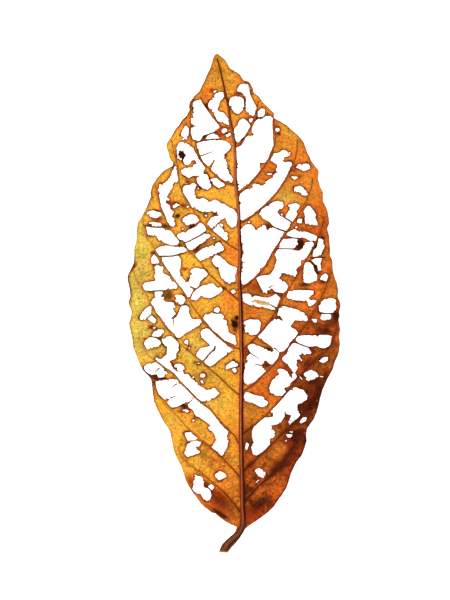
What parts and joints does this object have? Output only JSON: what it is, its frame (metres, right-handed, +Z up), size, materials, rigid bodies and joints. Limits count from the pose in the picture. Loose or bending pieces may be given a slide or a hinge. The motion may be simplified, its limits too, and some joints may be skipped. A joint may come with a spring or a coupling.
{
  "type": "skeleton leaf",
  "caption": "Dried ochre-brown leaf eaten to its veins: arched blade with many holes, raised midrib, side veins and net, short bent stalk",
  "frame": {"origin": "centre of the leaf's bounding box in plan, on the surface it lies on", "axes": "+Y from the stalk towards the tip, +X to the right as seen from above, +Z up out of the veined face"},
  "size_m": [0.0637, 0.1502, 0.0094],
  "materials": {
    "dry_leaf": "matte, slightly waxy dried leaf tissue"
  },
  "bodies": {
    "root": {"leaf": "dry_leaf"}
  },
  "joints": []
}
